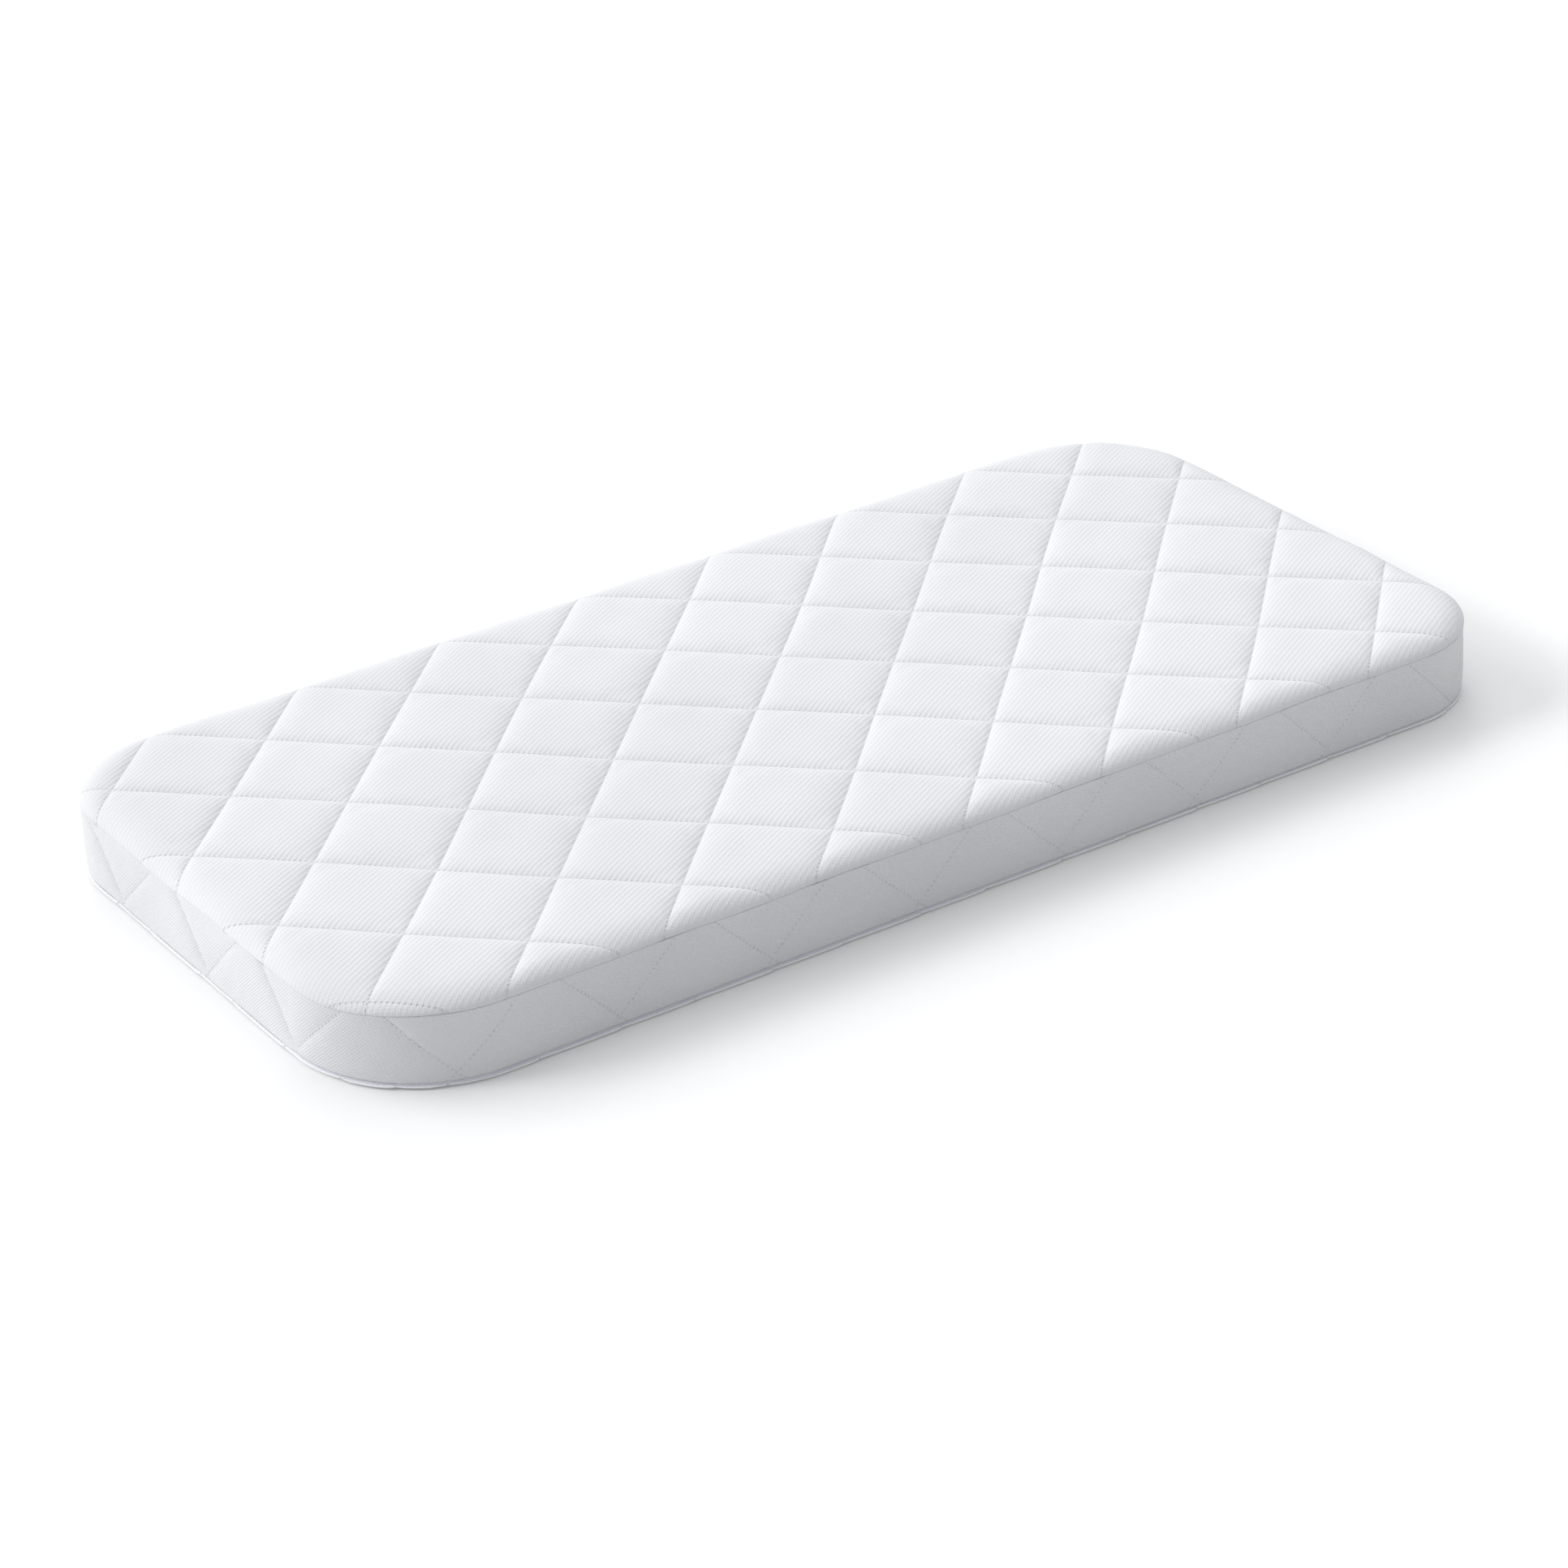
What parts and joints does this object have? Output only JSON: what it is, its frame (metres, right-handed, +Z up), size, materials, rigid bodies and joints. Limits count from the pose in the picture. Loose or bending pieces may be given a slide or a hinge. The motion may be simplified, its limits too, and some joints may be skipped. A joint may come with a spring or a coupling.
{
  "type": "memory foam mattress",
  "caption": "Small rectangular memory foam mattress with round corners, in a white diamond-quilted cover with a zip low on the side.",
  "frame": {"origin": "centre of the underside, on the floor plane", "axes": "+X along the length, towards the end where the closed zip's slider is parked; +Y to the back wall, away from the long side the zip runs along; +Z up"},
  "size_m": [0.8, 0.39, 0.0585],
  "materials": {
    "knit": "matt ribbed knit",
    "wadding": "lofty polyester fibre",
    "backing": "thin non-woven",
    "thread": "bound with thread",
    "tape": "woven tape, faint lavender",
    "coil": "satin nylon",
    "slider": "satin enamel",
    "sleeve": "thin stretch knit",
    "memory_foam": "matt open-cell foam",
    "base_foam": "matt open-cell foam",
    "label": "smooth satin"
  },
  "bodies": {
    "mattress": {"top_panel_face_fabric": "knit", "top_panel_wadding": "wadding", "top_panel_backing": "backing", "border_face_fabric": "knit", "border_wadding": "wadding", "border_backing": "backing", "bottom_panel_face_fabric": "knit", "bottom_panel_wadding": "wadding", "bottom_panel_backing": "backing", "top_seam_allowance": "thread", "bottom_seam_allowance": "thread", "zip_upper_coil": "coil", "zip_lower_coil": "coil", "zip_upper_tape": "tape", "zip_lower_tape": "tape", "zip_start_bar_tack": "thread", "zip_end_bar_tack": "thread", "inner_sleeve": "sleeve", "support_foam_base": "base_foam", "memory_foam_layer": "memory_foam", "care_label": "label"},
    "slider": {"zip_slider_body": "slider"},
    "pull_tab": {"zip_pull_tab": "slider"}
  },
  "joints": [
    {"name": "zip_run", "type": "slide", "parent": "mattress", "child": "slider", "axis": [0, -1, 0], "range_m": [0, 0.18]},
    {"name": "pull_tab_swing", "type": "hinge", "parent": "slider", "child": "pull_tab", "pos_m": [0.39885, 0.088, 0.0046], "axis": [0, 0, 1], "range_deg": [0, 170]}
  ]
}
